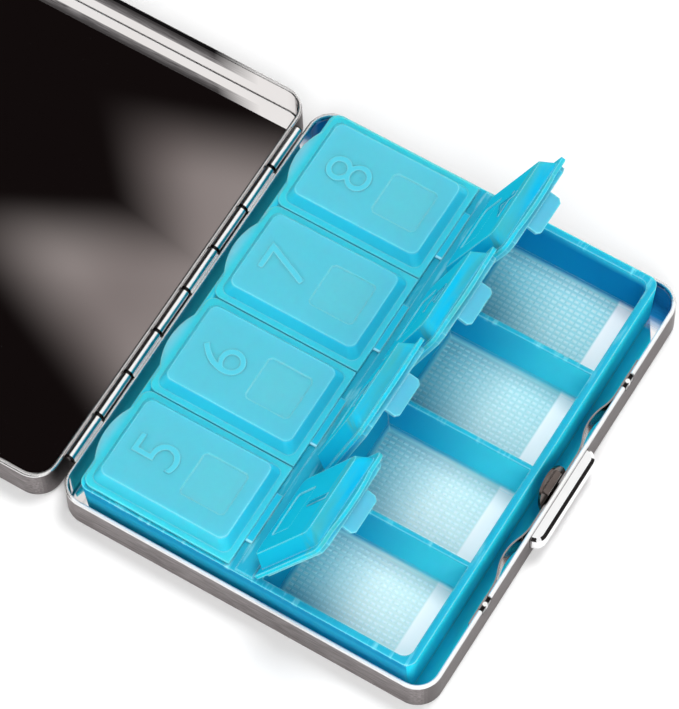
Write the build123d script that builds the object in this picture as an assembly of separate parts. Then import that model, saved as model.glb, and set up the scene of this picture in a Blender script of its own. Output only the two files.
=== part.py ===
"""Pocket pill organizer: a hinged sheet steel case that holds a moulded tray of eight lidded pockets.

The case lies open: the base and its lid rest side by side on one surface, joined by a piano hinge.
+Z is up, +X runs from the hinge to the latch, +Y runs along the hinge, and the origin is the centre
of the base's underside. All lengths are in millimetres and all angles in degrees.
"""
import math
import os

from build123d import *

# Case: two like pans of drawn sheet
case_length = 95.0
case_width = 80.0
pan_depth = 9.0
sheet = 0.8
case_corner = 5.0
case_edge = 1.0
rim_bevel = 0.25
rim_gap = 0.2

# Piano hinge along the back walls
knuckle_radius = 1.0
knuckle_count = 8
hinge_end = 6.9
knuckle_play = 0.3
hinge_gap = 0.15
pin_radius = 0.5
pin_play = 0.04

# Push button in the front wall of the base
button_length = 21.5
button_height = 4.0
button_reach = 2.3
button_drop = 2.8
button_corner = 2.2
button_bevel = 0.6
button_play = 0.15

# Leaf spring behind the button
spring_strip = 0.3
spring_height = 4.6
spring_half = 31.0
spring_seat = 0.05
spring_flat_half = 8.0
spring_wave_length = 15.0
spring_wave_depth = 1.5
spring_tab_y = 26.2
spring_tab_length = 2.8
spring_tab_height = 1.4
notch_depth = 2.0
notch_play = 0.25

# Catch tongue on the spring and strike plate on the lid
tongue_width = 9.0
tongue_sheet = 0.5
tongue_foot = 1.7
tongue_rise = 6.7
tongue_lean = 1.2
barb_tip = 0.15
barb_width = 5.0
barb_height = 1.2
barb_lip = 0.35
catch_play = 0.2
strike_sheet = 0.6
strike_length = 13.0
strike_height = 4.0
strike_inset = 0.3
strike_bar = 0.85
strike_window_height = 1.9
strike_window_play = 0.6
rivet_radius = 0.55
rivet_head_radius = 0.95
rivet_head = 0.3
rivet_spacing = 4.4
rivet_bite = 1.4
rivet_play = 0.04

# Tray: two rows of tapered pockets on either side of a hollow spine
tray_end_play = 1.25
tray_side_play = 3.55
tray_shift = -0.3
tray_corner = 2.0
tray_floor = 0.8
tray_draft = 3.4
end_wall = 1.4
side_wall = 1.45
partition = 0.9
spine_wall = 1.1
pocket_near = 3.5
pocket_corner = 2.0
pocket_floor_bevel = 0.8
rows = 4

# Pocket lids: a flange, a hollow crown on it, and below it a plug ring and a snap tab
lid_near = 3.2
lid_inset = 0.55
lid_gap = 0.3
lid_sheet = 0.8
lid_corner = 2.0
lid_seat = 0.05
lid_border = 1.2
crown_rise = 2.7
crown_lean = 1.25
crown_corner = 1.6
crown_wall = 0.9
crown_room = 0.3
lip_reach = 1.75
lip_chord = 13.0
plug_play = 0.25
plug_wall = 1.0
plug_depth = 1.0
snap_width = 8.3
snap_depth = 2.8
snap_sheet = 0.9
snap_inset = 0.4
snap_corner = 0.7
window_side = 9.4
window_corner = 0.6
window_depth = 0.25
window_share = 0.31
open_angles = (63.8, 73.2, 69.9, 67.3)

# Living hinges between the spine's rib and the lids
web_sheet = 0.3
web_length = 11.0
rib_half = 1.8

# One overrun carries every cut past the surface it opens
overrun = 1.0

# Places that follow from the sizes above
hinge_x = -(case_width / 2 + knuckle_radius + hinge_gap)
hinge_z = pan_depth + rim_gap / 2
hinge_axis = Axis((hinge_x, 0, hinge_z), (0, 1, 0))
knuckle_pitch = (case_length - 2 * hinge_end) / knuckle_count
wall_inner = case_width / 2 - sheet
button_mid_z = pan_depth - button_drop
spring_back = wall_inner - spring_seat
spring_face = spring_back - spring_strip
shut_room = 2 * (pan_depth - sheet) + rim_gap
tray_length = case_length - 2 * (sheet + tray_end_play)
tray_width = case_width - 2 * (sheet + tray_side_play)
tray_height = shut_room - crown_room - crown_rise - lid_sheet - lid_seat
tray_bottom = sheet
tray_top = tray_bottom + tray_height
pitch = (tray_length - partition) / rows
pocket_far = tray_width / 2 - side_wall
well_half = tray_length / 2 - end_wall
lid_far = tray_width / 2 - lid_inset
lid_length = lid_far - lid_near
lid_middle = (lid_far + lid_near) / 2
lid_width = pitch - lid_gap
lid_bottom = tray_top + lid_seat
lid_top = lid_bottom + lid_sheet
web_z = lid_bottom + web_sheet / 2
web_span = lid_near - rib_half
lid_axis_x = rib_half + web_span / 2


def lying_y(radius, length, x, y, z):
    """A round bar along Y, centred on a point."""
    return Pos(x, y, z) * Rot(90, 0, 0) * Cylinder(radius, length)


def lying_x(radius, start, end, y, z):
    """A round bar along X between two places."""
    return Pos((start + end) / 2, y, z) * Rot(0, 90, 0) * Cylinder(radius, end - start)


def block(x_from, x_to, y_from, y_to, z_from, z_to):
    """A box between two corners."""
    middle = Pos((x_from + x_to) / 2, (y_from + y_to) / 2, (z_from + z_to) / 2)
    return middle * Box(x_to - x_from, y_to - y_from, z_to - z_from)


def section_xz(*points):
    """A closed outline in the plane of X and Z, as a face that looks along -Y."""
    corners = [(x, 0, z) for x, z in points]
    return make_face(Polyline(*corners, close=True))


def along_y(face, length):
    """A face in the plane of X and Z, thickened evenly to both sides."""
    return extrude(face, amount=length / 2, both=True)


def pan():
    """One half of the case: a drawn pan with rounded corners and bevelled edges."""
    outer = extrude(RectangleRounded(case_width, case_length, case_corner), amount=pan_depth)
    outer = chamfer(outer.edges().group_by(Axis.Z)[0], case_edge)
    hollow = RectangleRounded(case_width - 2 * sheet, case_length - 2 * sheet, case_corner - sheet)
    inner = extrude(Pos(0, 0, sheet) * hollow, amount=pan_depth)
    inner = chamfer(inner.edges().group_by(Axis.Z)[0], case_edge - sheet)
    shell = outer - inner
    return chamfer(shell.edges().group_by(Axis.Z)[-1], rim_bevel)


def knuckle(index):
    """One curled knuckle and its leaf, as they grow from the base's back wall."""
    middle_y = (index - (knuckle_count - 1) / 2) * knuckle_pitch
    length = knuckle_pitch - knuckle_play
    barrel = lying_y(knuckle_radius, length, hinge_x, middle_y, hinge_z)
    leaf = block(
        hinge_x,
        -case_width / 2 + sheet / 2,
        middle_y - length / 2,
        middle_y + length / 2,
        hinge_z - knuckle_radius,
        pan_depth - rim_bevel,
    )
    return barrel + leaf


def half_case(first):
    """A pan with every second knuckle, bored for the pin."""
    shell = pan()
    for index in range(first, knuckle_count, 2):
        shell += knuckle(index)
    bore = lying_y(pin_radius + pin_play, case_length + overrun, hinge_x, 0, hinge_z)
    return shell - bore


def base_shell():
    """The lower pan, with the button's window and the two rim notches that hold the spring."""
    shell = half_case(0)
    reach = button_height / 2 + button_play
    half = button_length / 2 + button_play
    outside = case_width / 2 + overrun
    shell -= block(
        wall_inner - overrun, outside, -half, half, button_mid_z - reach, button_mid_z + reach
    )
    notch_half = spring_tab_length / 2 + notch_play
    for side in (-1, 1):
        middle = side * spring_tab_y
        shell -= block(
            wall_inner - overrun,
            outside,
            middle - notch_half,
            middle + notch_half,
            pan_depth - notch_depth,
            pan_depth + overrun,
        )
    return shell


def case_lid():
    """The upper pan, lying open beyond the hinge."""
    return mirror(half_case(1), about=Plane.YZ.offset(hinge_x))


def hinge_pin():
    """The wire that all knuckles turn on."""
    return lying_y(pin_radius, knuckle_count * knuckle_pitch, hinge_x, 0, hinge_z)


def spring_path():
    """Half of the leaf spring's middle line seen from above: flat, a wave away from the wall, flat."""
    at_wall = spring_back - spring_strip / 2
    quarter = spring_wave_length / 4
    start = (at_wall, spring_flat_half)
    slope = (at_wall - spring_wave_depth / 2, spring_flat_half + quarter)
    crest = (at_wall - spring_wave_depth, spring_flat_half + 2 * quarter)
    back = (at_wall - spring_wave_depth / 2, spring_flat_half + 3 * quarter)
    end = (at_wall, spring_flat_half + 4 * quarter)
    line = [Line((at_wall, 0), start)]
    for first, last in ((start, slope), (slope, crest), (crest, back), (back, end)):
        line.append(TangentArc(first, last, tangent=line[-1] % 1))
    line.append(Line(end, (at_wall, spring_half)))
    return Wire(line)


def latch_spring():
    """The waved leaf spring: its end tabs sit in the rim notches and its middle carries the button."""
    path = Pos(0, 0, button_mid_z) * spring_path()
    start = Plane(origin=path @ 0, x_dir=(1, 0, 0), z_dir=(0, 1, 0))
    half = sweep(start * Rectangle(spring_strip, spring_height), path=path)
    tab = block(
        spring_face,
        case_width / 2,
        spring_tab_y - spring_tab_length / 2,
        spring_tab_y + spring_tab_length / 2,
        pan_depth - notch_depth + notch_play,
        pan_depth - notch_depth + notch_play + spring_tab_height,
    )
    half += tab
    whole = half + mirror(half, about=Plane.XZ)
    for y in rivet_places():
        whole -= lying_x(rivet_radius + rivet_play, spring_face - overrun, wall_inner, y, button_mid_z)
    return whole


def rivet_places():
    """Where the two rivets pass along the wall."""
    return (-rivet_spacing / 2, rivet_spacing / 2)


def barb_bottom():
    """Height of the barb's flat underside, just over the strike plate's bar on the shut lid."""
    return pan_depth + rim_gap + strike_inset + strike_bar + catch_play


def catch_tongue():
    """The half round tongue on the spring: it leans inwards, and its barb hooks the strike plate."""
    foot = button_mid_z - tongue_foot
    knee = button_mid_z + tongue_foot
    top = button_mid_z + tongue_rise
    inner = spring_face - tongue_sheet
    profile = section_xz(
        (spring_face, foot),
        (spring_face, knee),
        (spring_face - tongue_lean, top),
        (inner - tongue_lean, top),
        (inner, knee),
        (inner, foot),
    )
    radius = tongue_width / 2
    outline = Pos(0, top - radius) * Circle(radius)
    outline += Pos(0, (foot + top - radius) / 2) * Rectangle(tongue_width, top - radius - foot)
    tongue = along_y(profile, tongue_width) & extrude(Plane.YZ * outline, amount=case_width)
    hook = barb_bottom()
    root = spring_face - tongue_lean
    tip = spring_face + barb_tip
    barb = section_xz((root, hook), (tip, hook), (tip, hook + barb_lip), (root, hook + barb_height))
    tongue += along_y(barb, barb_width)
    for y in rivet_places():
        tongue -= lying_x(rivet_radius + rivet_play, inner - overrun, wall_inner, y, button_mid_z)
    return tongue


def latch_button():
    """The polished push button: a bar with rounded ends that slides in the wall's window."""
    front = case_width / 2 + button_reach
    half = button_length / 2
    low = button_mid_z - button_height / 2
    bar = block(wall_inner, front, -half, half, low, low + button_height)
    bar = fillet(bar.edges().filter_by(Axis.Z).group_by(Axis.X)[-1], button_corner)
    flats = bar.faces().filter_by(Axis.Z)
    outside = [edge for face in flats for edge in face.edges() if edge.center().X > wall_inner]
    bar = chamfer(outside, button_bevel)
    bite = wall_inner + rivet_bite
    for y in rivet_places():
        bar -= lying_x(rivet_radius + rivet_play, wall_inner - overrun, bite, y, button_mid_z)
    return bar


def button_rivets():
    """Two rivets that clamp tongue, spring and button together."""
    head_face = spring_face - tongue_sheet
    rivets = []
    for y in rivet_places():
        shank = lying_x(rivet_radius, head_face, wall_inner + rivet_bite, y, button_mid_z)
        head = lying_x(rivet_head_radius, head_face - rivet_head, head_face, y, button_mid_z)
        rivets.append(shank + head)
    return Compound(rivets)


def strike_plate():
    """The windowed plate inside the lid's front wall that the barb hooks, turned open with the lid."""
    low = pan_depth + rim_gap + strike_inset
    half = strike_length / 2
    window_half = barb_width / 2 + strike_window_play
    plate = block(wall_inner - strike_sheet, wall_inner, -half, half, low, low + strike_height)
    window_low = low + strike_bar
    plate -= block(
        wall_inner - strike_sheet - overrun,
        wall_inner + overrun,
        -window_half,
        window_half,
        window_low,
        window_low + strike_window_height,
    )
    return plate.rotate(hinge_axis, 180)


def row_y(place):
    """Middle of a lid along Y, counted from the near end."""
    return tray_shift + (place - (rows - 1) / 2) * pitch


def pocket(place):
    """The hollow of one pocket beside the latch, rounded only at the tray's outer corners."""
    low = max((place - rows / 2) * pitch + partition / 2, -well_half)
    high = min((place + 1 - rows / 2) * pitch - partition / 2, well_half)
    middle = Pos((pocket_near + pocket_far) / 2, tray_shift + (low + high) / 2, tray_top)
    mouth = middle * Rectangle(pocket_far - pocket_near, high - low)
    outer_corners = mouth.vertices().sort_by(Axis.Y).group_by(Axis.X)[-1]
    if place == 0:
        mouth = fillet(outer_corners[0], pocket_corner)
    if place == rows - 1:
        mouth = fillet(outer_corners[-1], pocket_corner)
    hole = extrude(mouth, amount=tray_height - tray_floor, dir=(0, 0, -1), taper=tray_draft)
    return chamfer(hole.edges().group_by(Axis.Z)[0], pocket_floor_bevel)


def pill_tray():
    """The moulded tray: tapered outside, eight tapered pockets, a hollow spine and a rib on top."""
    centre = Pos(0, tray_shift)
    outline = Pos(0, 0, tray_top) * centre * RectangleRounded(tray_width, tray_length, tray_corner)
    tray = extrude(outline, amount=tray_height, dir=(0, 0, -1), taper=tray_draft)
    for place in range(rows):
        hole = pocket(place)
        tray -= hole
        tray -= mirror(hole, about=Plane.YZ)
    lean = tray_height * math.tan(math.radians(tray_draft))
    channel_half = pocket_near - spine_wall + lean
    channel = Rectangle(2 * channel_half, tray_length - 2 * (end_wall + lean))
    hollow = Pos(0, 0, tray_bottom) * centre * channel
    tray -= extrude(hollow, amount=tray_height - spine_wall, taper=tray_draft)
    rib_y = rows * pitch / 2
    tray += centre * block(-rib_half, rib_half, -rib_y, rib_y, tray_top, web_z + web_sheet / 2)
    return tray


def shut_lid():
    """A pocket lid of the row beside the latch, shut, with its middle on the X axis."""
    flange = Pos(lid_middle, 0) * Rectangle(lid_length, lid_width)
    flange = fillet(flange.vertices().group_by(Axis.X)[-1], lid_corner) + lip_outline()
    lid = extrude(Pos(0, 0, lid_bottom) * flange, amount=lid_sheet) + crown()
    ring_length = pocket_far - pocket_near - 2 * plug_play
    ring_width = 2 * (well_half - plug_play) - (rows - 1) * pitch
    ring_foot = Pos((pocket_far + pocket_near) / 2, 0, lid_bottom - plug_depth)
    ring = chamfer(Rectangle(ring_length, ring_width).vertices(), pocket_corner - 2 * plug_play)
    lid += extrude(ring_foot * ring, amount=plug_depth)
    inset = lid_border + crown_lean + crown_wall
    mouth = ring_foot * Rectangle(ring_length - 2 * plug_wall, ring_width - 2 * plug_wall)
    ceiling = Pos(lid_middle, 0, lid_top + crown_rise - crown_wall)
    lid -= loft([mouth, ceiling * Rectangle(lid_length - 2 * inset, lid_width - 2 * inset)], ruled=True)
    lid += snap()
    window = Pos(lid_near + window_share * lid_length, 0, lid_top + crown_rise - window_depth)
    pane = chamfer(Rectangle(window_side, window_side).vertices(), window_corner)
    return lid - extrude(window * pane, amount=overrun)


def lip_outline():
    """The finger lip: a shallow arc beyond the lid's free edge."""
    half = lip_chord / 2
    root = lid_far - lid_border
    arc = ThreePointArc((lid_far, -half), (lid_far + lip_reach, 0), (lid_far, half))
    sides = Polyline((lid_far, half), (root, half), (root, -half), (lid_far, -half))
    return make_face([arc, *sides.edges()])


def crown():
    """The raised panel on a lid, with leaning sides and rounded corners."""
    outlines = []
    for level, inset in ((lid_top, lid_border), (lid_top + crown_rise, lid_border + crown_lean)):
        outline = RectangleRounded(lid_length - 2 * inset, lid_width - 2 * inset, crown_corner)
        outlines.append(Pos(lid_middle, 0, level) * outline)
    return loft(outlines, ruled=True)


def snap():
    """The tab under the free edge that springs into the pocket's mouth."""
    outer = pocket_far - plug_play - snap_inset
    low = lid_bottom - plug_depth - snap_depth
    half = snap_width / 2
    tab = block(outer - snap_sheet, outer, -half, half, low, lid_bottom)
    corners = tab.edges().filter_by(Axis.X).group_by(Axis.Z)[0]
    return chamfer(corners, snap_corner)


def web(angle):
    """A living hinge strip of the row beside the latch, bent evenly by the angle its lid stands open."""
    half = web_span / 2
    if angle == 0:
        return block(rib_half, lid_near, -web_length / 2, web_length / 2, lid_bottom, lid_bottom + web_sheet)
    radius = half / math.tan(math.radians(angle / 2))
    centre = (rib_half, web_z + radius)
    inner = arc_points(centre, radius - web_sheet / 2, angle)
    outer = arc_points(centre, radius + web_sheet / 2, angle)
    edges = [
        ThreePointArc(*inner),
        Line(inner[-1], outer[-1]),
        ThreePointArc(*outer),
        Line(outer[0], inner[0]),
    ]
    return along_y(make_face(edges), web_length)


def arc_points(centre, radius, angle):
    """Start, middle and end of an arc that leaves its lowest point towards +X."""
    points = []
    for share in (0, 0.5, 1):
        turn = math.radians(angle * share)
        points.append((centre[0] + radius * math.sin(turn), 0, centre[1] - radius * math.cos(turn)))
    return points


def pocket_lids_and_webs():
    """Eight lids and webs: 1 to 4 stand open beside the latch, 5 to 8 lie shut beside the hinge."""
    pieces = {}
    lid = shut_lid()
    for place in range(rows):
        move = Pos(0, row_y(place), 0)
        angle = open_angles[place]
        lid_axis = Axis((lid_axis_x, 0, web_z), (0, -1, 0))
        pieces[f"pocket_lid_{place + 1}"] = move * lid.rotate(lid_axis, angle)
        pieces[f"hinge_web_{place + 1}"] = move * web(angle)
        pieces[f"pocket_lid_{place + 1 + rows}"] = move * mirror(lid, about=Plane.YZ)
        pieces[f"hinge_web_{place + 1 + rows}"] = move * mirror(web(0), about=Plane.YZ)
    return pieces


nodes = {
    "base_shell": base_shell(),
    "case_lid": case_lid(),
    "hinge_pin": hinge_pin(),
    "latch_spring": latch_spring(),
    "catch_tongue": catch_tongue(),
    "latch_button": latch_button(),
    "button_rivets": button_rivets(),
    "strike_plate": strike_plate(),
    "pill_tray": pill_tray(),
    **pocket_lids_and_webs(),
}

os.makedirs("parts", exist_ok=True)
for name, shape in nodes.items():
    export_step(shape, f"parts/{name}.step")
    size = shape.bounding_box().size
    print(f"{name}: {shape.volume:.1f} mm3, {size.X:.2f} x {size.Y:.2f} x {size.Z:.2f} mm")
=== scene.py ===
# %% [markdown]
# A pocket pill organizer in a hinged steel case.
# The CAD parts come in as a fixed frame, in metres: steel pans, a latch, a moulded tray and its lids.
# This lesson dresses them: finishes first in words, then in nodes, then the small moulded details.

# %% Load the frame
import math

import bmesh
import bpy
from mathutils import Matrix, Vector


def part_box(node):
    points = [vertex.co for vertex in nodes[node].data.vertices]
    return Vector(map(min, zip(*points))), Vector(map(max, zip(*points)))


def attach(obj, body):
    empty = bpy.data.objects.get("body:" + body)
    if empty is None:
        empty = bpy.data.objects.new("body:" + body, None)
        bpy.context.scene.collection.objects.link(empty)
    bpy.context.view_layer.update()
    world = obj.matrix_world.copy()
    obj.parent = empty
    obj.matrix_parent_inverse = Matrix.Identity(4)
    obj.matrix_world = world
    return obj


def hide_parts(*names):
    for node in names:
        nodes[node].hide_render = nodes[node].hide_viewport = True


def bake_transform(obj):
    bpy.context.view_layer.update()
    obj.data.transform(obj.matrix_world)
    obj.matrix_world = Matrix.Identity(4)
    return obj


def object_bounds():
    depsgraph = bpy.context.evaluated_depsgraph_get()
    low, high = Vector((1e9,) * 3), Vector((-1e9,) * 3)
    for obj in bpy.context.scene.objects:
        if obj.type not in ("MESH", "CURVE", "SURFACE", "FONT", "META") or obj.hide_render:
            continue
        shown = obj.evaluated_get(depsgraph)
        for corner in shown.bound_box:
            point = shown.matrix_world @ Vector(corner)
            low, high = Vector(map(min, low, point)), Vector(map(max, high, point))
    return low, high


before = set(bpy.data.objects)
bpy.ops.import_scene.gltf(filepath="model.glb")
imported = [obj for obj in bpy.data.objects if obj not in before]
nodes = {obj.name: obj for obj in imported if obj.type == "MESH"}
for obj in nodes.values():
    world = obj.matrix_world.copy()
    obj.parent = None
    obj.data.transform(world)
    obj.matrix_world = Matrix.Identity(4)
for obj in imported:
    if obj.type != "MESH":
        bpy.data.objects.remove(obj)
cad_box = [list(corner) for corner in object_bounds()]
mm = 0.001


def in_mm(lengths):
    """Lengths in millimetres, rounded for the printed lines."""
    return [round(length / mm, 1) for length in lengths]


print("frame:", len(nodes), "nodes, box", [in_mm(corner) for corner in cad_box], "mm")

# %% [markdown]
# The camera stands high on the latch side with a long lens, so the edges of the case stay almost parallel.
# Its place and turn were solved from the straight edges of the case in the photograph.

# %% Camera
scene = bpy.context.scene
lens_data = bpy.data.cameras.new("long_lens")
lens_data.sensor_width = 36
lens_data.lens = 226.03
lens_data.clip_start = 0.05
camera = bpy.data.objects.new("camera", lens_data)
camera.location = (0.194608, -0.302315, 0.754797)
camera.rotation_mode = "QUATERNION"
camera.rotation_quaternion = (0.938554, 0.215527, 0.070934, 0.260065)
scene.collection.objects.link(camera)
scene.camera = camera
print("camera at", in_mm(camera.location), "mm")

# %% [markdown]
# Every finish below is a node tree, so small helpers keep the cells short.
# They start a material, add a node with what feeds it, and blend two colours or two numbers by a mask.
# A mask is a number from 0 to 1 that says how much a place belongs to something.

# %% Node helpers
mix_sockets = {"RGBA": (6, 7, 2), "FLOAT": (2, 3, 0)}
plain_detail = 2.0
rich_detail = 3.0
bevel_rays = 4
level = (1, 1, 0)


def start_finish(name):
    """A new material with an empty tree, an output and one main shader."""
    material = bpy.data.materials.new(name)
    material.use_nodes = True
    tree = material.node_tree
    tree.nodes.clear()
    shader = tree.nodes.new("ShaderNodeBsdfPrincipled")
    output = tree.nodes.new("ShaderNodeOutputMaterial")
    tree.links.new(shader.outputs[0], output.inputs["Surface"])
    return material, tree, shader


def feed(tree, socket, value):
    """Links a socket to another one, or sets a constant on it."""
    if isinstance(value, bpy.types.NodeSocket):
        tree.links.new(value, socket)
    elif value is not None:
        socket.default_value = value


def add(tree, kind, *feeds, **settings):
    """A node of that kind; feeds are sockets or constants for its inputs in order."""
    node = tree.nodes.new(kind)
    for name, value in settings.items():
        setattr(node, name, value)
    for socket, value in zip(node.inputs, feeds):
        feed(tree, socket, value)
    return node


def place(tree):
    """Where a point of the surface is, in the frame at rest."""
    return add(tree, "ShaderNodeTexCoord").outputs["Object"]


def xyz(tree, vector):
    """The three sockets of a vector."""
    return add(tree, "ShaderNodeSeparateXYZ", vector).outputs


def maths(tree, operation, *feeds):
    return add(tree, "ShaderNodeMath", *feeds, operation=operation).outputs[0]


def vectors(tree, operation, *feeds):
    """Vector maths with a vector as its result."""
    return add(tree, "ShaderNodeVectorMath", *feeds, operation=operation).outputs[0]


def measure(tree, operation, *feeds):
    """Vector maths with a number as its result."""
    return add(tree, "ShaderNodeVectorMath", *feeds, operation=operation).outputs["Value"]


def both(tree, first, *others):
    """The product of masks and shares, 1 only where all of them are."""
    for other in others:
        first = maths(tree, "MULTIPLY", first, other)
    return first


def scaled(tree, value, low, swing):
    """A value from 0 to 1, moved to start at low and to swing that far."""
    return maths(tree, "ADD", maths(tree, "MULTIPLY", value, swing), low)


def fade(tree, value, low, high):
    """0 below low, 1 above high, straight between; low may be the larger one."""
    return add(tree, "ShaderNodeMapRange", value, low, high, 0.0, 1.0).outputs[0]


def mix(tree, data_type, share, first, second):
    """A blend of two colours or two numbers; a share of 0 gives the first one."""
    node = add(tree, "ShaderNodeMix", share, data_type=data_type)
    first_in, second_in, result = mix_sockets[data_type]
    feed(tree, node.inputs[first_in], first)
    feed(tree, node.inputs[second_in], second)
    return node.outputs[result]


def mix_colour(tree, share, first, second):
    return mix(tree, "RGBA", share, first, second)


def mix_value(tree, share, first, second):
    return mix(tree, "FLOAT", share, first, second)


def noise(tree, where, scale, detail=plain_detail, stretch=(1, 1, 1)):
    """Soft noise in the frame, with scale in spots per metre."""
    stretched = vectors(tree, "MULTIPLY", where, stretch)
    return add(tree, "ShaderNodeTexNoise", stretched, None, scale, detail).outputs[0]


def soft_normal(tree, radius):
    """The surface's direction with its edges rounded by a radius."""
    return add(tree, "ShaderNodeBevel", radius, samples=bevel_rays).outputs[0]


def flat_normal(tree):
    """The direction of the bare facet."""
    return add(tree, "ShaderNodeNewGeometry").outputs["True Normal"]


def dent(tree, shader, height, distance, strength, normal=None):
    """Small relief from a height, over a depth in metres."""
    bump = tree.nodes.new("ShaderNodeBump")
    bump.inputs["Strength"].default_value = strength
    bump.inputs["Distance"].default_value = distance
    feed(tree, bump.inputs["Height"], height)
    if normal:
        feed(tree, bump.inputs["Normal"], normal)
    feed(tree, shader.inputs["Normal"], bump.outputs[0])


def dress(material, *names):
    """Gives CAD nodes their finish."""
    for name in names:
        nodes[name].data.materials.clear()
        nodes[name].data.materials.append(material)


print("helpers ready")

# %% [markdown]
# The case is drawn steel sheet: brushed dull outside, mirror bright inside, on the rim and on the knuckles.
# One finish does both sides: the distance to the rounded outline of the pan tells outside from inside.
# Brushing is a fine noise drawn out along the walls, which moves roughness and colour.

# %% Outline of the two pans
case_half = Vector((40.0, 47.5, 0)) * mm
case_corner = 5.0 * mm
outer_skin = (case_corner - 0.55 * mm, case_corner - 0.3 * mm)
under_skin = (0.55 * mm, 0.3 * mm)
polished = (8.4 * mm, 8.5 * mm)
rim_round = 0.3 * mm
hinge_x = -41.15 * mm
hinge_skin = (case_corner + 0.12 * mm, case_corner + 0.05 * mm)
on_knuckle = (1.0, 0.5)
knuckle_pitch = 10.15 * mm
knuckle_start = -40.6 * mm
seam_half = (0.40 * mm, 0.30 * mm)


def pan_reach(tree, where, middle_x):
    """How far a point lies beyond the core of a pan, which ends where its corners start to turn."""
    core = case_half - Vector((case_corner, case_corner, 0))
    from_middle = vectors(tree, "SUBTRACT", where, (middle_x, 0, 0))
    past = vectors(tree, "SUBTRACT", vectors(tree, "ABSOLUTE", from_middle), core)
    past = vectors(tree, "MAXIMUM", past, (0, 0, 0))
    return measure(tree, "LENGTH", vectors(tree, "MULTIPLY", past, level))


def near_seam(tree, along):
    """1 close to the seam between two knuckles, 0 away from it."""
    from_start = maths(tree, "SUBTRACT", along, knuckle_start - knuckle_pitch / 2)
    in_pitch = maths(tree, "WRAP", from_start, knuckle_pitch, 0.0)
    off_seam = maths(tree, "ABSOLUTE", maths(tree, "SUBTRACT", in_pitch, knuckle_pitch / 2))
    return fade(tree, off_seam, *seam_half)


print("pan of", in_mm(2 * case_half), "mm, seams every", in_mm([knuckle_pitch]), "mm")

# %% [markdown]
# Three places on the bright steel get a painted reflection: a colour by place, which stands in for what they
# mirror.
# The base's far inner wall mirrors the blue tray, so a blue reflection is painted on it. A polished rim
# catches light as a thin white line, so the base's rim gets a painted white highlight. The dark band on the
# lid's far wall is a painted reflection, a guess from the photograph. Each place has a mask of its own, from
# its distances in the frame.

# %% Painted reflections and a painted highlight
base_reflection_along = (41 * mm, 44 * mm)
base_reflection_height = (8.0 * mm, 7.4 * mm)
lid_reflection_wall = (46.2 * mm, 46.4 * mm)
lid_reflection_height = (4.6 * mm, 5.0 * mm)
lid_reflection_across = (-54 * mm, -64 * mm)
reflection_shade = (8.0 * mm, 5.4 * mm)
rim_highlight_across = (-37 * mm, -36 * mm)
rim_highlight_along = (45.5 * mm, 44.5 * mm)


def tint_in_base(tree, across, along, height):
    """The far end of the base's inside, below the rim, where a blue reflection is painted."""
    return both(tree, fade(tree, along, *base_reflection_along), fade(tree, height, *base_reflection_height))


def tint_in_lid(tree, across, along, height):
    """The upper half of the lid's far wall, away from the hinge, where a dark band is painted as a
    reflection.
    """
    wall = both(tree, fade(tree, along, *lid_reflection_wall), fade(tree, height, *lid_reflection_height))
    return both(tree, wall, fade(tree, across, *lid_reflection_across))


def satin_rim(tree, across, along):
    """The base's rim away from the hinge and from the far end, where a white highlight is painted."""
    return both(tree, fade(tree, across, *rim_highlight_across), fade(tree, along, *rim_highlight_along))


print("three tinted places")

# %% [markdown]
# The steel puts these masks together: brushed or mirror first, then seams, painted reflections and the rim's
# painted highlight. It is one recipe for both pans, which differ only in their painted reflection and its
# colours.

# %% Steel of the two pans
brush_along, brush_across = 330, 3800
brush_fade = (0.3, 0.7)
brush_depth, brush_strength = 0.01 * mm, 0.6
side_facing = (0.6, 0.8)
side_shade_share = 0.6
cloud_count = 90.0
brushed_dark = (0.12, 0.106, 0.106, 1)
brushed_light = (0.38, 0.35, 0.35, 1)
brushed_side_shade = (0.06, 0.053, 0.053, 1)
mirror_dark = (0.91, 0.89, 0.88, 1)
mirror_light = (0.95, 0.94, 0.935, 1)
seam_black = (0.012, 0.011, 0.011, 1)
rim_highlight_white = (0.97, 0.97, 0.965, 1)
base_blue_reflection = ((0.010, 0.22, 0.48, 1), (0.016, 0.30, 0.60, 1))
lid_band_reflection = ((0.010, 0.009, 0.010, 1), (0.34, 0.33, 0.335, 1))
base_reflection_nonmetal, lid_reflection_nonmetal = 0.9, 0.0
edge_tint = (0.80, 0.78, 0.78, 1)
brushed_rough = (0.28, 0.22)
mirror_rough = (0.01, 0.015)
rim_rough = 0.22
rim_highlight_metal = 0.3


def brushing(tree, where):
    """Fine lines along the walls, and a mask of the walls that face the hinge or the latch."""
    lines_x = noise(tree, where, 1.0, rich_detail, (brush_along, brush_across, brush_across))
    lines_y = noise(tree, where, 1.0, rich_detail, (brush_across, brush_along, brush_across))
    side = fade(tree, maths(tree, "ABSOLUTE", xyz(tree, flat_normal(tree))[0]), *side_facing)
    return fade(tree, mix_value(tree, side, lines_x, lines_y), *brush_fade), side


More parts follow.
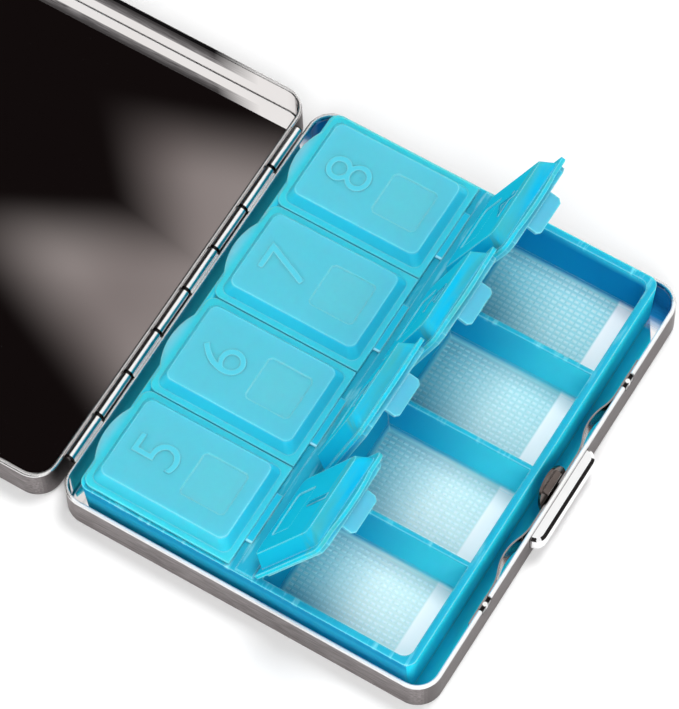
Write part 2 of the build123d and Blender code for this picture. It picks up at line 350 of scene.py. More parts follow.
def pan_steel(name, middle_x, reflection_place, reflection_colours, nonmetal_share):
    """Brushed outside and mirror inside, for a pan whose middle is at middle_x.

    reflection_place finds the place of a painted reflection, which has colours of its own; nonmetal_share is
    the share of it that isn't metal.
    """
    material, tree, shader = start_finish(name)
    where = place(tree)
    across, along, height = xyz(tree, where)
    reach = pan_reach(tree, where, middle_x)
    outside = maths(tree, "MAXIMUM", fade(tree, reach, *outer_skin), fade(tree, height, *under_skin))
    off_hinge = fade(tree, reach, *hinge_skin)
    on_rim = both(tree, fade(tree, height, *polished), off_hinge)
    brushed = both(tree, outside, fade(tree, height, *reversed(polished)), off_hinge)
    streak, side = brushing(tree, where)
    cloud = noise(tree, where, cloud_count, rich_detail)
    dull = mix_colour(tree, streak, brushed_dark, brushed_light)
    # Walls that face the hinge or the latch get painted shade.
    dull = mix_colour(tree, both(tree, side, side_shade_share), dull, brushed_side_shade)
    bright = mix_colour(tree, cloud, mirror_dark, mirror_light)
    seam = both(tree, near_seam(tree, along), fade(tree, off_hinge, *on_knuckle))
    bright = mix_colour(tree, seam, bright, seam_black)
    # Painted reflections: blue on the base's far inner wall, a dark band on the lid's far wall, with lighter
    # streaks lower down.
    at_reflection = reflection_place(tree, across, along, height)
    lit_streak = both(tree, streak, fade(tree, height, *reflection_shade))
    bright = mix_colour(tree, at_reflection, bright, mix_colour(tree, lit_streak, *reflection_colours))
    # Painted highlight: the base's rim is white and only partly metal.
    rim_highlight = both(tree, satin_rim(tree, across, along), on_rim)
    bright = mix_colour(tree, rim_highlight, bright, rim_highlight_white)
    feed(tree, shader.inputs["Base Color"], mix_colour(tree, brushed, bright, dull))
    metal = mix_value(tree, at_reflection, 1.0, 1.0 - nonmetal_share)
    feed(tree, shader.inputs["Metallic"], mix_value(tree, rim_highlight, metal, rim_highlight_metal))
    shader.inputs["Specular Tint"].default_value = edge_tint
    bright_rough = mix_value(tree, on_rim, scaled(tree, cloud, *mirror_rough), rim_rough)
    dull_rough = scaled(tree, streak, *brushed_rough)
    feed(tree, shader.inputs["Roughness"], mix_value(tree, brushed, bright_rough, dull_rough))
    relief = both(tree, streak, brushed)
    dent(tree, shader, relief, brush_depth, brush_strength, soft_normal(tree, rim_round))
    return material


dress(pan_steel("base_steel", 0.0, tint_in_base, base_blue_reflection, base_reflection_nonmetal), "base_shell")
dress(pan_steel("lid_steel", 2 * hinge_x, tint_in_lid, lid_band_reflection, lid_reflection_nonmetal), "case_lid")
print("steel on base_shell and case_lid")

# %% [markdown]
# Pin, spring, tongue, rivets, strike plate and button are small bright pieces.
# They share one recipe: wire, spring strip, tongue and plated button differ in colour, polish and lines.
# The spring's tabs sit in notches of the rim: painted shade makes them dark there, and a painted highlight
# stands for a pressed dimple.

# %% Bright small metal
spot_count = 400.0
line_depth, line_strength = 0.004 * mm, 0.4
tab_middle = Vector((39.6, 26.2, 0)) * mm
notch_start = (39.2 * mm, 39.3 * mm)
dimple_highlight_edge = (0.55 * mm, 0.385 * mm)
notch_shade_black = (0.012, 0.011, 0.011, 1)
dimple_highlight_white = (0.95, 0.94, 0.93, 1)


def bright_metal(name, dark, light, polish, lines, mark=None):
    """Metal with drawing lines, counted per metre in each direction; mark may change its colour."""
    material, tree, shader = start_finish(name)
    where = place(tree)
    drawn = noise(tree, where, 1.0, plain_detail, lines)
    spots = noise(tree, where, spot_count)
    colour = mix_colour(tree, spots, dark, light)
    feed(tree, shader.inputs["Base Color"], mark(tree, where, colour) if mark else colour)
    shader.inputs["Metallic"].default_value = 1.0
    feed(tree, shader.inputs["Roughness"], mix_value(tree, drawn, *polish))
    dent(tree, shader, drawn, line_depth, line_strength)
    return material


def tab_mark(tree, where, colour):
    """The spring's tabs: painted shade in the notches, with a painted highlight for the dimple."""
    from_tab = vectors(tree, "SUBTRACT", vectors(tree, "ABSOLUTE", where), tab_middle)
    away = measure(tree, "LENGTH", vectors(tree, "MULTIPLY", from_tab, level))
    in_notch = fade(tree, xyz(tree, where)[0], *notch_start)
    shaded_tab = mix_colour(tree, in_notch, colour, notch_shade_black)
    return mix_colour(tree, fade(tree, away, *dimple_highlight_edge), shaded_tab, dimple_highlight_white)


wire = bright_metal(
    "hinge_wire", dark=(0.62, 0.61, 0.60, 1), light=(0.76, 0.75, 0.74, 1),
    polish=(0.10, 0.28), lines=(300, 4000, 300),
)
strip = bright_metal(
    "spring_strip", dark=(0.20, 0.19, 0.19, 1), light=(0.38, 0.36, 0.355, 1),
    polish=(0.06, 0.20), lines=(5000, 300, 5000), mark=tab_mark,
)
tongue = bright_metal(
    "tongue_steel", dark=(0.07, 0.055, 0.05, 1), light=(0.20, 0.165, 0.15, 1),
    polish=(0.12, 0.26), lines=(800, 800, 5000),
)
plating = bright_metal(
    "button_plating", dark=(0.88, 0.88, 0.88, 1), light=(0.95, 0.95, 0.95, 1),
    polish=(0.03, 0.08), lines=(900, 900, 900),
)
dress(wire, "hinge_pin")
dress(strip, "latch_spring", "button_rivets", "strike_plate")
dress(tongue, "catch_tongue")
dress(plating, "latch_button")
print("bright metal on pin, spring, tongue, rivets, strike plate and button")

# %% [markdown]
# Tray and lids are one milky blue plastic, with painted highlights along the edges and painted shade in deep
# blue where walls stack up.
# The shader lets light wander under the skin: red hardly, green and blue far. It lets none right through,
# so colours by place stand in for light that comes through the walls.
# The skin has a faint flow from the mould and a fine grain, and the fields on the shut lids are matt.

# %% Blue plastic
edge_highlight_pale = (0.34, 0.82, 0.90, 1)
edge_round = 0.4 * mm
edge_lean = (0.995, 0.90)
edge_highlight_share = 0.6
flow_count, grain_count = 60.0, 4500.0
scatter_radius = (0.2, 1.0, 1.1)
scatter_depth = 2.5 * mm
plastic_ior = 1.45
skin_rough = (0.24, 0.16)
matt_rough = 0.5
flow_relief = 2.0
relief_depth, relief_strength = 0.012 * mm, 0.5


def blue_plastic(name, body, gloss, scatter, matt=None):
    """The plastic; body makes its colour socket, and matt one from 0 to 1 for the matt fields.

    scatter is the share of light that wanders under the skin, or makes a socket for it.
    """
    material, tree, shader = start_finish(name)
    where = place(tree)
    flow = noise(tree, where, flow_count, rich_detail)
    grain = noise(tree, where, grain_count)
    rounded = soft_normal(tree, edge_round)
    lean = measure(tree, "DOT_PRODUCT", rounded, flat_normal(tree))
    # Painted highlight: a paler colour where the rounded edges turn.
    at_edge_highlight = both(tree, fade(tree, lean, *edge_lean), edge_highlight_share)
    feed(tree, shader.inputs["Base Color"], mix_colour(tree, at_edge_highlight, body(tree, where, flow), edge_highlight_pale))
    feed(tree, shader.inputs["Subsurface Weight"], scatter(tree, where) if callable(scatter) else scatter)
    shader.inputs["Subsurface Radius"].default_value = scatter_radius
    shader.inputs["Subsurface Scale"].default_value = scatter_depth
    shader.inputs["IOR"].default_value = plastic_ior
    shader.inputs["Specular IOR Level"].default_value = gloss
    rough = scaled(tree, flow, *skin_rough)
    if matt:
        rough = mix_value(tree, matt(tree, where), rough, matt_rough)
    feed(tree, shader.inputs["Roughness"], rough)
    relief = maths(tree, "ADD", grain, maths(tree, "MULTIPLY", flow, flow_relief))
    dent(tree, shader, relief, relief_depth, relief_strength, rounded)
    return material


def distances(tree, where):
    """How far out from the spine, how far along it, and how high a point is."""
    across, along, height = xyz(tree, where)
    return maths(tree, "ABSOLUTE", across), along, height


print("plastic recipe ready")

# %% [markdown]
# The tray's walls change in colour from the bottom up, with painted shade near the spine and at the far end.
# Partitions get painted light towards the outer walls. Little light reaches the outer walls in the narrow
# gap beside the case, so these take a brighter blue, which is painted light, with painted shade at the top
# of the near wall. Pale painted highlights streak the rim.

# %% Walls of the tray
tray_blue = (0.025, 0.41, 0.57, 1)
deep_blue = (0.014, 0.45, 0.64, 1)
lit_blue = (0.06, 0.70, 0.84, 1)
far_blue = (0.004, 0.20, 0.44, 1)
inner_blue = (0.005, 0.29, 0.58, 1)
hinge_blue = (0.03, 0.62, 1.0, 1)
near_blue = (0.04, 0.66, 1.0, 1)
near_top_blue = (0.010, 0.22, 0.42, 1)
latch_blue = (0.015, 0.62, 1.0, 1)
wall_rise = (2.0 * mm, 12.0 * mm)
under_rim = (13.4 * mm, 12.9 * mm)
lit_out, lit_share = (10 * mm, 30 * mm), 0.85
far_end, far_shade = (40 * mm, 43 * mm), (13.3 * mm, 11.0 * mm)
inner_out, inner_shade, inner_share = (24 * mm, 8 * mm), (13.4 * mm, 12.6 * mm), 0.6
hinge_wall = (-34.3 * mm, -34.6 * mm)
latch_wall = (34.3 * mm, 34.6 * mm)
near_end = (-44.9 * mm, -45.1 * mm)
near_rise, near_shade = (6.0 * mm, 11.5 * mm), (13.5 * mm, 13.3 * mm)
rim_sheen_lines, rim_sheen_fade = (900, 120, 200), (0.55, 0.75)
rim_rise, rim_sheen_share = (12.5 * mm, 13.4 * mm), 0.6


def wall_colour(tree, where):
    """The tray's walls: from the bottom up, then painted light and shade one side after the other, then
    painted highlights on the rim.
    """
    across, along, height = xyz(tree, where)
    out = maths(tree, "ABSOLUTE", across)
    below_rim = fade(tree, height, *under_rim)
    walls = mix_colour(tree, fade(tree, height, *wall_rise), deep_blue, tray_blue)
    # Painted light on partitions towards the outer walls, painted shade at the far end and near the spine.
    lit = both(tree, fade(tree, out, *lit_out), below_rim, lit_share)
    walls = mix_colour(tree, lit, walls, lit_blue)
    far = both(tree, fade(tree, along, *far_end), fade(tree, height, *far_shade))
    walls = mix_colour(tree, far, walls, far_blue)
    inner = both(tree, fade(tree, out, *inner_out), fade(tree, height, *inner_shade), inner_share)
    walls = mix_colour(tree, inner, walls, inner_blue)
    # Painted light on the outer walls in the gap beside the case, painted shade at the top of the near wall.
    walls = mix_colour(tree, fade(tree, across, *hinge_wall), walls, hinge_blue)
    near_wall = mix_colour(tree, fade(tree, height, *near_rise), near_blue, near_top_blue)
    at_near = both(tree, fade(tree, along, *near_end), fade(tree, height, *near_shade))
    walls = mix_colour(tree, at_near, walls, near_wall)
    by_latch = both(tree, fade(tree, across, *latch_wall), below_rim)
    walls = mix_colour(tree, by_latch, walls, latch_blue)
    # Painted highlights: pale streaks along the rim.
    rim_sheen_streaks = fade(tree, noise(tree, where, 1.0, rich_detail, rim_sheen_lines), *rim_sheen_fade)
    rim = both(tree, fade(tree, height, *rim_rise), rim_sheen_streaks, rim_sheen_share)
    return mix_colour(tree, rim, walls, edge_highlight_pale)


print("nine blues for the walls")

# %% [markdown]
# The pockets' floors are thin plastic on bright steel; the light off the steel is painted into them, so they
# are almost white. They are teal in painted shade of the spine and at the far end, and whitest in the smooth
# strip beside the outer wall, where a white reflection is painted.

# %% Floors of the tray
floor_level = 1.6 * mm
knurl_near, knurl_far = 5.8 * mm, 28.4 * mm
floor_pale = (0.63, 0.79, 0.77, 1)
floor_teal = (0.20, 0.60, 0.68, 1)
strip_reflection_white = (0.99, 0.96, 0.94, 1)
floor_out, floor_along = (34.4 * mm, 34.2 * mm), (44.6 * mm, 44.4 * mm)
floor_rise = (2.3 * mm, 1.7 * mm)
spine_shade = (6 * mm, 18 * mm)
far_shadow, far_shadow_share = (-15 * mm, 35 * mm), 0.7
strip_start = (knurl_far, knurl_far + 0.4 * mm)


def on_floor(tree, where):
    """1 on the pockets' floors, 0 on all walls."""
    out, along, height = distances(tree, where)
    in_length = fade(tree, maths(tree, "ABSOLUTE", along), *floor_along)
    return both(tree, fade(tree, out, *floor_out), in_length, fade(tree, height, *floor_rise))


def in_walls(tree, where):
    return maths(tree, "SUBTRACT", 1.0, on_floor(tree, where))


def floor_colour(tree, where):
    out, along, height = distances(tree, where)
    # Painted shade: teal near the spine and at the far end.
    shaded = mix_colour(tree, fade(tree, out, *spine_shade), floor_teal, floor_pale)
    far_off = both(tree, fade(tree, along, *far_shadow), far_shadow_share)
    shaded = mix_colour(tree, far_off, shaded, floor_teal)
    # Painted reflection: the smooth strip beside the outer wall is white.
    return mix_colour(tree, fade(tree, out, *strip_start), shaded, strip_reflection_white)


def tray_colour(tree, where, flow):
    return mix_colour(tree, on_floor(tree, where), wall_colour(tree, where), floor_colour(tree, where))


dress(blue_plastic("tray_plastic", tray_colour, gloss=0.0, scatter=in_walls), "pill_tray")
print("plastic on pill_tray")

# %% [markdown]
# Lids beside the hinge lie shut and lids beside the latch stand open, each at its own angle.
# A shut lid's field and window are found by height. An open lid has a paler band and tab instead:
# its points are first turned back about its living hinge, and are then found the same way.

# %% Plastic of the lids
lid_numbers = range(1, 9)
lids_in_row = 4
open_angles = {1: 63.8, 2: 73.2, 3: 69.9, 4: 67.3}
lid_axis = Vector((2.5, 0, 13.75)) * mm
field_top = 17.1 * mm
window_floor = 16.85 * mm
field_start = (window_floor - 0.1 * mm, window_floor - 0.02 * mm)
window_drop = (field_top - 0.08 * mm, window_floor + 0.08 * mm)
lip_start = (34.6 * mm, 36.2 * mm)
band_start, band_lines, band_fade = (28.5 * mm, 30.0 * mm), (900, 60, 300), (0.3, 0.7)
tab_drop = (13.5 * mm, 12.8 * mm)
lid_blue = (0.042, 0.60, 0.79, 1)
field_blue = (0.10, 0.53, 0.68, 1)
window_pale = (0.115, 0.565, 0.745, 1)
lip_milky = (0.17, 0.52, 0.66, 1)
# Painted shade: open lids take a deeper blue than shut lids.
open_shade_blue = (0.007, 0.48, 0.72, 1)
open_band = (0.06, 0.41, 0.46, 1)
tab_milky = (0.11, 0.44, 0.58, 1)


def turn_back(number):
    """How far a lid stands open, in radians; 0 for the shut row."""
    return math.radians(open_angles.get(number, 0.0))


def side_of(number):
    """1 for the row beside the latch, -1 for the row beside the hinge."""
    return 1 if number in open_angles else -1


def matt_field(tree, where):
    return fade(tree, xyz(tree, where)[2], *field_start)


def shut_colour(tree, where, flow):
    """A shut lid: milky at its lip, with a field and a paler window on its crown."""
    out, along, height = distances(tree, where)
    rim = mix_colour(tree, fade(tree, out, *lip_start), lid_blue, lip_milky)
    field = mix_colour(tree, fade(tree, height, *window_drop), field_blue, window_pale)
    return mix_colour(tree, matt_field(tree, where), rim, field)


def open_plastic(number):
    """Plastic of an open lid: a deeper blue than the shut lids, which is painted shade, with a duller band
    at its free end and a milky tab.
    """

    def open_colour(tree, where, flow):
        rotate = add(tree, "ShaderNodeVectorRotate", where, lid_axis, rotation_type="Y_AXIS")
        rotate.inputs["Angle"].default_value = turn_back(number)
        shut_place = rotate.outputs[0]
        out, along, height = xyz(tree, shut_place)
        streaks = noise(tree, shut_place, 1.0, plain_detail, band_lines)
        band = both(tree, fade(tree, out, *band_start), fade(tree, streaks, *band_fade))
        upper = mix_colour(tree, band, open_shade_blue, open_band)
        return mix_colour(tree, fade(tree, height, *tab_drop), upper, tab_milky)

    return blue_plastic(f"open_lid_plastic_{number}", open_colour, gloss=0.0, scatter=1.0)


shut_plastic = blue_plastic("shut_lid_plastic", shut_colour, gloss=0.25, scatter=1.0, matt=matt_field)
for number in lid_numbers:
    dress(open_plastic(number) if number in open_angles else shut_plastic, f"pocket_lid_{number}")
print("plastic on", len(lid_numbers), "lids,", len(open_angles), "of them open")

# %% [markdown]
# A living hinge is a strip of the same plastic, thin enough to fold. In the frame it is stiff, so each strip
# is copied and the flat ones are cut finely across. Their near ends look whitened, as folded plastic does.

# %% Living hinges
web_start = 1.8 * mm
web_half_span = 0.7 * mm
web_cuts = 8
row_pitch = 22.5 * mm
row_shift = -0.3 * mm
row_middles = [row_shift + (step - (lids_in_row - 1) / 2) * row_pitch for step in range(lids_in_row)]
fold_start = (-4.95 * mm, -5.15 * mm)
web_blue = (0.010, 0.47, 0.64, 1)
fold_white = (0.32, 0.74, 0.84, 1)


def web_colour(tree, where, flow):
    """Body colour, whitened by folding at the near end of each strip."""
    along = maths(tree, "SUBTRACT", xyz(tree, where)[1], row_shift)
    in_row = maths(tree, "SUBTRACT", maths(tree, "WRAP", along, row_pitch, 0.0), row_pitch / 2)
    return mix_colour(tree, fade(tree, in_row, *fold_start), web_blue, fold_white)


def own_copy(node_name, piece_name, material):
    """A free mesh with the shape of a CAD node."""
    piece = bpy.data.objects.new(piece_name, nodes[node_name].data.copy())
    piece.data.materials.clear()
    piece.data.materials.append(material)
    scene.collection.objects.link(piece)
    return piece


def cut_across(piece, point, direction, drop_behind=False):
    """Cuts a mesh by a plane; what lies behind it can be dropped."""
    mesh = bmesh.new()
    mesh.from_mesh(piece.data)
    parts = mesh.verts[:] + mesh.edges[:] + mesh.faces[:]
    cut = bmesh.ops.bisect_plane(
        mesh, geom=parts, plane_co=point, plane_no=direction, clear_inner=drop_behind,
    )
    if drop_behind:
        edges = [part for part in cut["geom_cut"] if isinstance(part, bmesh.types.BMEdge)]
        bmesh.ops.holes_fill(mesh, edges=edges)
    mesh.to_mesh(piece.data)
    mesh.free()


web_plastic = blue_plastic("web_plastic", web_colour, gloss=0.2, scatter=0.0)
for number in lid_numbers:
    side = side_of(number)
    low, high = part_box(f"hinge_web_{number}")
    web = own_copy(f"hinge_web_{number}", f"living_hinge_{number}", web_plastic)
    middle_y = (low.y + high.y) / 2
    if side < 0:
        for step in range(1, web_cuts):
            cut_x = side * (web_start + step * 2 * web_half_span / web_cuts)
            cut_across(web, (cut_x, 0, 0), (1, 0, 0))
    angle = turn_back(number)
    end = lid_axis + Vector((math.cos(angle), 0, math.sin(angle))) * web_half_span
    end = Vector((side * end.x, middle_y, end.z))
    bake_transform(web)
    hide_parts(f"hinge_web_{number}")
print(len(lid_numbers), "living hinges, blended")

# %% [markdown]
# The leaf spring bends when the button is pressed: its ends stay in the rim and its middle goes with the
# button. So it is cut in two at its middle.

for name, side in (("near", -1), ("far", 1)):
    half = own_copy("latch_spring", f"spring_{name}_half", strip)
    cut_across(half, (0, 0, 0), (0, side, 0), drop_behind=True)
    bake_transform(half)
    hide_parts("latch_spring")
    print("spring", name, "half:", len(half.data.vertices), "points")

# %% [markdown]
# Plain numerals stand a hair above the fields, one to eight. They are text turned into mesh,
# scaled to a height in millimetres and turned with the lid that carries them.

# %% Numerals
numeral_height = 9.3 * mm
numeral_middle = 25.3 * mm
matrix_size = 4
shut_ink = ((0.075, 0.51, 0.64, 1), (0.085, 0.54, 0.67, 1))
# Painted shade: numerals on the open lids take a deeper blue, as their lids do.
open_numeral_shade = ((0.008, 0.38, 0.60, 1), (0.010, 0.41, 0.63, 1))


def shut_numeral_colour(tree, where, flow):
    return mix_colour(tree, flow, *shut_ink)


def open_numeral_colour(tree, where, flow):
    return mix_colour(tree, flow, *open_numeral_shade)


def numeral_mesh(number):
    """A numeral of the right height, centred, with its top towards -X."""
    curve = bpy.data.curves.new(f"numeral_{number}", "FONT")
    curve.body = str(number)
    curve.extrude = 0.006
    curve.bevel_depth = 0.004
    curve.bevel_resolution = 1
    curve.offset = -0.008
    text = bpy.data.objects.new("text", curve)
    mesh = bpy.data.meshes.new_from_object(text)
    bpy.data.objects.remove(text)
    xs = [point.co.x for point in mesh.vertices]
    ys = [point.co.y for point in mesh.vertices]
    scale = numeral_height / (max(ys) - min(ys))
    centre = Vector(((max(xs) + min(xs)) / 2, (max(ys) + min(ys)) / 2, 0))
    quarter_turn = Matrix.Rotation(math.radians(90), matrix_size, "Z")
    mesh.transform(quarter_turn @ Matrix.Scale(scale, matrix_size) @ Matrix.Translation(-centre))
    return mesh


shut_numeral = blue_plastic("shut_numeral_plastic", shut_numeral_colour, gloss=0.2, scatter=0.0)
open_numeral = blue_plastic("open_numeral_plastic", open_numeral_colour, gloss=0.0, scatter=0.0)
to_axis = Matrix.Translation((lid_axis.x, 0, lid_axis.z))
for number in lid_numbers:
    mesh = numeral_mesh(number)
    middle_y = row_middles[(number - 1) % lids_in_row]
    mesh.transform(Matrix.Translation((side_of(number) * numeral_middle, middle_y, field_top)))
    opened = Matrix.Rotation(-turn_back(number), matrix_size, "Y")
    mesh.transform(to_axis @ opened @ to_axis.inverted())
    mesh.materials.append(open_numeral if number in open_angles else shut_numeral)
    numeral = bpy.data.objects.new(f"numeral_{number}", mesh)
    scene.collection.objects.link(numeral)
    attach(numeral, f"pocket_lid_{number}")
print(len(lid_numbers), "numerals,", in_mm([numeral_height]), "mm tall")

# %% [markdown]
# The floors of the pockets are knurled so that a tablet can be picked up: rows of small raised dashes.
# One mesh holds the dashes of all eight pockets, each a low block with sloping sides.

# %% Knurled floors
knurl_pitch = Vector((1.25, 1.06)) * mm
knurl_half = 8.6 * mm
dash_foot = Vector((0.52, 0.30)) * mm
dash_top = Vector((0.42, 0.18)) * mm
dash_rise, dash_sink = 0.12 * mm, 0.02 * mm
square_corners = ((-1, -1), (1, -1), (1, 1), (-1, 1))
dash_white = ((0.84, 0.91, 0.91, 1), (0.93, 0.95, 0.95, 1))
dash_far = (0.36, 0.68, 0.70, 1)
dash_teal = (0.36, 0.68, 0.73, 1)
dash_shade = (7 * mm, 20 * mm)
dash_far_share = 0.5


def dash(points, faces, x, y):
    """One raised dash on a pocket floor: a top and four sloping sides, open below."""
    foot = len(points)
    top = foot + len(square_corners)
    for rise, half in ((-dash_sink, dash_foot), (dash_rise, dash_top)):
        for sx, sy in square_corners:
            points.append((x + sx * half.x, y + sy * half.y, floor_level + rise))
    ring = range(len(square_corners))
    faces.append([top + k for k in ring])
    for k in ring:
        after = (k + 1) % len(square_corners)
        faces.append([foot + k, foot + after, top + after, top + k])


def dash_colour(tree, where, flow):
    """Dashes are whiter than the floor between them, least so in the painted shade of the spine and far off.
    """
    out, along, height = distances(tree, where)
    white = mix_colour(tree, flow, *dash_white)
    far_off = both(tree, fade(tree, along, *far_shadow), dash_far_share)
    white = mix_colour(tree, far_off, white, dash_far)
    return mix_colour(tree, fade(tree, out, *dash_shade), dash_teal, white)


points, faces = [], []
columns = int((knurl_far - knurl_near) / knurl_pitch.x) + 1
lines = int(knurl_half / knurl_pitch.y)
for side in (-1, 1):
    for middle_y in row_middles:
        for column in range(columns):
            for line in range(-lines, lines + 1):
                x = side * (knurl_far - dash_foot.x - column * knurl_pitch.x)
                dash(points, faces, x, middle_y + line * knurl_pitch.y)
mesh = bpy.data.meshes.new("floor_knurl")
mesh.from_pydata(points, [], faces)
mesh.materials.append(blue_plastic("knurl_plastic", dash_colour, gloss=0.2, scatter=0.0))
knurl = bpy.data.objects.new("floor_knurl", mesh)
scene.collection.objects.link(knurl)
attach(knurl, "base")
print("knurl:", len(points) // (2 * len(square_corners)), "dashes")

# %% [markdown]
# The object lies on a plain white floor under a white sky. The floor is white by its own colour, so it
# takes the shadow of the case; far out it fades into the sky. Two soft lamps give the lids their shape,
# a small one beyond the far end and a large one over the near side. Mirrors show the sky, not the lamps.

# %% Floor, sky and lamps
floor_half = 3
one_face = [(0, 1, 2, 3)]
floor_drop = 0.02 * mm
paper_count, paper_rough = 30.0, 0.9
paper_white = ((0.965, 0.965, 0.965, 1), (0.98, 0.98, 0.98, 1))
paper_end = (0.16, 0.40)
pure_white = (1, 1, 1, 1)
sky_light, sky_seen = 0.42, 1.0
lamp_aim = (0, 0, 10)


def rays_that_see(tree):
    """1 for the camera's rays and for rays off mirrors or through glass, 0 for the light itself."""
    rays = add(tree, "ShaderNodeLightPath")
    seen = maths(tree, "MAXIMUM", rays.outputs["Is Camera Ray"], rays.outputs["Is Glossy Ray"])
    return maths(tree, "MAXIMUM", seen, rays.outputs["Is Transmission Ray"])


def soft_lamp(name, place_mm, size, watts):
    """A square soft lamp at a place, turned to the case."""
    data = bpy.data.lights.new(name, "AREA")
    data.size = size
    data.energy = watts
    lamp = bpy.data.objects.new(name, data)
    lamp.location = Vector(place_mm) * mm
    lamp.rotation_mode = "QUATERNION"
    lamp.rotation_quaternion = (Vector(lamp_aim) * mm - lamp.location).to_track_quat("-Z", "Y")
    lamp.visible_glossy = False
    scene.collection.objects.link(lamp)


floor_mesh = bpy.data.meshes.new("floor")
floor_corners = [(sx * floor_half, sy * floor_half, 0) for sx, sy in square_corners]
floor_mesh.from_pydata(floor_corners, [], one_face)
floor = bpy.data.objects.new("floor", floor_mesh)
floor.location.z = cad_box[0][2] - floor_drop
scene.collection.objects.link(floor)

material, tree, shader = start_finish("white_paper")
paper = noise(tree, place(tree), paper_count, rich_detail)
feed(tree, shader.inputs["Base Color"], mix_colour(tree, paper, *paper_white))
shader.inputs["Roughness"].default_value = paper_rough
shader.inputs["Specular IOR Level"].default_value = 0.0
away = measure(tree, "LENGTH", vectors(tree, "SUBTRACT", place(tree), (hinge_x, 0, 0)))
far_off = both(tree, fade(tree, away, *paper_end), rays_that_see(tree))
white = add(tree, "ShaderNodeEmission", pure_white, 1.0)
paper_or_white = add(tree, "ShaderNodeMixShader", far_off, shader.outputs[0], white.outputs[0])
output = next(node for node in tree.nodes if node.type == "OUTPUT_MATERIAL")
feed(tree, output.inputs["Surface"], paper_or_white.outputs[0])
floor_mesh.materials.append(material)

world = bpy.data.worlds.new("white_sky")
scene.world = world
world.use_nodes = True
tree = world.node_tree
tree.nodes.clear()
strength = mix_value(tree, rays_that_see(tree), sky_light, sky_seen)
sky = add(tree, "ShaderNodeBackground", pure_white, strength)
add(tree, "ShaderNodeOutputWorld", sky.outputs[0])

soft_lamp("key_lamp", place_mm=(60, 220, 870), size=0.3, watts=4.0)
soft_lamp("fill_lamp", place_mm=(260, -480, 620), size=0.6, watts=4.0)
scene.view_settings.view_transform = "Standard"
print("floor, sky and lamps ready")

# %% [markdown]
# The open lid is a mirror. Over it hangs a dark card with two soft pale wedges for it to show.
# The card fades to white at its edges, except on the hinge side, where it meets an upright dark card.
# Low dark cards stand round the set and give polished edges their thin dark lines.
# Only reflections see the cards.

# %% Dark cards for the mirror
card_dark = (0.006, 0.004, 0.004, 1)
card_pale = ((0.18, 0.15, 0.147, 1), (0.36, 0.32, 0.31, 1))
card_cloud_count, card_cloud_fade = 14.0, (0.3, 0.7)
fence_dark = ((0.01, 0.009, 0.009, 1), (0.04, 0.036, 0.036, 1))
fence_cloud_count = 8.0
card_detail = 1.0
quarter = 90
overhead_x, overhead_y, overhead_z = (-400, -157), (30, 290), 400
wedge_soft = 24 * mm
wedge_start = -wedge_soft / 6
pale_end = (-164 * mm, -170 * mm)
card_right = (-157 * mm, -163 * mm)
card_near, card_far = (30 * mm, 80 * mm), (290 * mm, 240 * mm)
fence_half, fence_foot, fence_top, near_top = 600, 5, 230, 320
hinge_fence_half, hinge_fence_top = 500, 400


def card(name, corners_mm, material):
    """A flat card that only reflections see."""
    mesh = bpy.data.meshes.new(name)
    mesh.from_pydata([Vector(corner) * mm for corner in corners_mm], [], one_face)
    mesh.materials.append(material)
    piece = bpy.data.objects.new(name, mesh)
    scene.collection.objects.link(piece)
    for rays in ("camera", "diffuse", "transmission", "volume_scatter", "shadow"):
        setattr(piece, f"visible_{rays}", False)


def fence(name, first, last, top, material):
    """An upright card between two places on the floor, in millimetres."""
    corners = ((*first, fence_foot), (*last, fence_foot), (*last, top), (*first, top))
    card(name, corners, material)


def card_finish(name, light_on):
    """A card that glows faintly; light_on makes its colour socket."""
    material = bpy.data.materials.new(name)
    material.use_nodes = True
    tree = material.node_tree
    tree.nodes.clear()
    light = add(tree, "ShaderNodeEmission", light_on(tree, place(tree)), 1.0)
    add(tree, "ShaderNodeOutputMaterial", light.outputs[0])
    return material


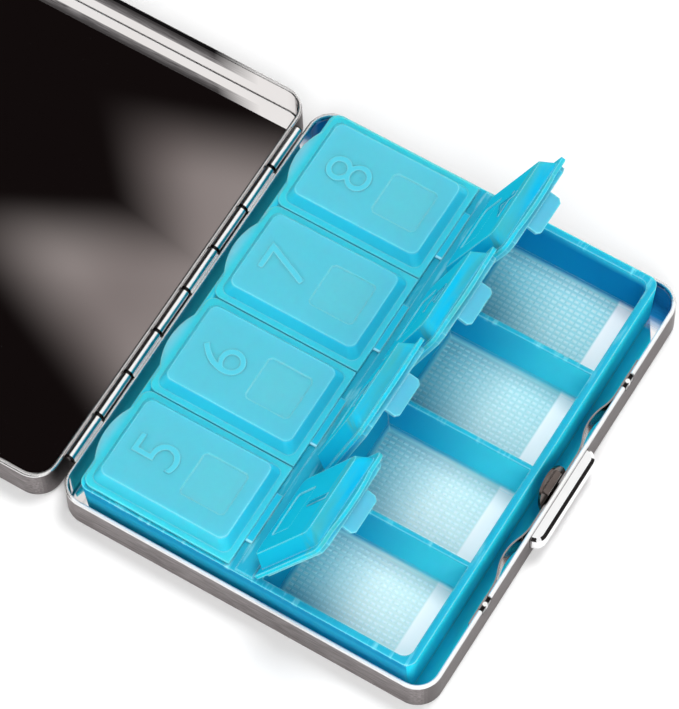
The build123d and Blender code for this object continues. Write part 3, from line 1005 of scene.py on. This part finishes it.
def wedge(tree, where, tip_mm, low_degrees, high_degrees):
    """1 inside a soft wedge that opens towards +X from its tip, between two directions."""
    from_tip = vectors(tree, "SUBTRACT", where, Vector(tip_mm) * mm)
    sides = []
    for degrees, turn in ((low_degrees, quarter), (high_degrees, -quarter)):
        across = math.radians(degrees + turn)
        inwards = measure(tree, "DOT_PRODUCT", from_tip, (math.cos(across), math.sin(across), 0))
        edge = add(tree, "ShaderNodeMapRange", inwards, wedge_start, wedge_soft)
        edge.interpolation_type = "SMOOTHSTEP"
        sides.append(edge.outputs[0])
    return both(tree, *sides)


def overhead_light(tree, where):
    """Dark, with the two wedges over the lid, and white along three edges."""
    across, along, height = xyz(tree, where)
    upper = wedge(tree, where, tip_mm=(-226, 208, overhead_z), low_degrees=-47, high_degrees=19)
    lower = wedge(tree, where, tip_mm=(-250, 153, overhead_z), low_degrees=-24, high_degrees=28)
    glow = both(tree, maths(tree, "MAXIMUM", upper, lower), fade(tree, across, *pale_end))
    cloud = fade(tree, noise(tree, where, card_cloud_count, card_detail), *card_cloud_fade)
    dark_or_pale = mix_colour(tree, glow, card_dark, mix_colour(tree, cloud, *card_pale))
    in_length = both(tree, fade(tree, along, *card_near), fade(tree, along, *card_far))
    inside = both(tree, fade(tree, across, *card_right), in_length)
    return mix_colour(tree, inside, pure_white, dark_or_pale)


def fence_light(tree, where):
    return mix_colour(tree, noise(tree, where, fence_cloud_count, card_detail), *fence_dark)


left, right = overhead_x
near, far = overhead_y
round_card = ((left, near), (right, near), (right, far), (left, far))
overhead_corners = [(x, y, overhead_z) for x, y in round_card]
card("card_overhead", overhead_corners, card_finish("card_overhead", overhead_light))
dark = card_finish("card_fence", fence_light)
fence("card_latch_side", (fence_half, -fence_half), (fence_half, fence_half), fence_top, dark)
fence("card_hinge_side", (left, -hinge_fence_half), (left, hinge_fence_half), hinge_fence_top, dark)
fence("card_near_side", (-fence_half, -fence_half), (fence_half, -fence_half), near_top, dark)
fence("card_far_side", (-fence_half, fence_half), (fence_half, fence_half), fence_top, dark)
print("dark cards hung")
